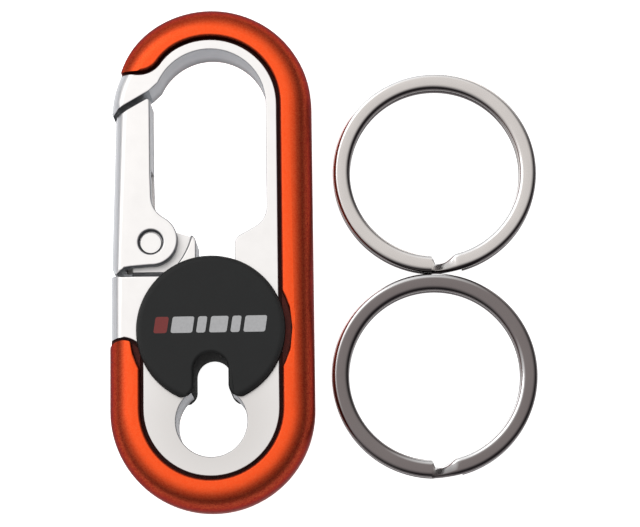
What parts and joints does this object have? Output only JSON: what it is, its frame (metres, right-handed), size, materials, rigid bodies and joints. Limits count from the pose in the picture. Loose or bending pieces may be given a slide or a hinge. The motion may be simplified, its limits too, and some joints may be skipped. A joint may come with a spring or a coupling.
{
  "type": "carabiner keyring",
  "caption": "Stadium-shaped carabiner key holder with a sprung hook gate, a turning disc that locks a key eye, and loose split rings beside it.",
  "frame": {"origin": "centre of the key eye, halfway through the frame's thickness", "axes": "+Y along the body from the key eye to the hook end, +Z out of the front face and along the key eye, +X towards the side away from the gate"},
  "size_m": [0.0621, 0.0736, 0.0104],
  "materials": {
    "satin_nickel": "pearl satin nickel plate on cast zinc",
    "orange_lacquer": "satin metallic orange lacquer on cast zinc",
    "black_plastic": "fine matt soft-touch black",
    "bright_steel": "bright nickel plated spring steel",
    "plain_steel": "plain bright steel"
  },
  "bodies": {
    "body": {"inner_frame": "satin_nickel", "outer_band": "orange_lacquer", "seam_pins": "plain_steel", "detent_spring": "plain_steel", "gate_spring": "plain_steel"},
    "gate": {"gate": "satin_nickel", "gate_pin": "satin_nickel"},
    "lock": {"lock_rotor": "black_plastic", "lock_rear_disc": "black_plastic", "lock_screws": "plain_steel"},
    "upper_ring": {"split_ring_upper": "bright_steel"},
    "lower_ring": {"split_ring_lower": "bright_steel"}
  },
  "joints": [
    {"name": "gate_hinge", "type": "hinge", "parent": "body", "child": "gate", "pos_m": [-0.0086, 0.026, 0], "axis": [0, 0, -1], "range_deg": [0, 28], "stiffness_Nm_per_rad": 0.04, "springref_deg": -20.05, "deforming": ["gate_spring"]},
    {"name": "lock_turn", "type": "hinge", "parent": "body", "child": "lock", "pos_m": [0, 0.01315, 0], "axis": [0, 0, 1], "continuous": true, "deforming": ["detent_spring"]},
    {"name": "upper_ring_lift", "type": "slide", "parent": "body", "child": "upper_ring", "axis": [0, 0, 1], "range_m": [0, 0.03]},
    {"name": "lower_ring_lift", "type": "slide", "parent": "body", "child": "lower_ring", "axis": [0, 0, 1], "range_m": [0, 0.03]}
  ]
}
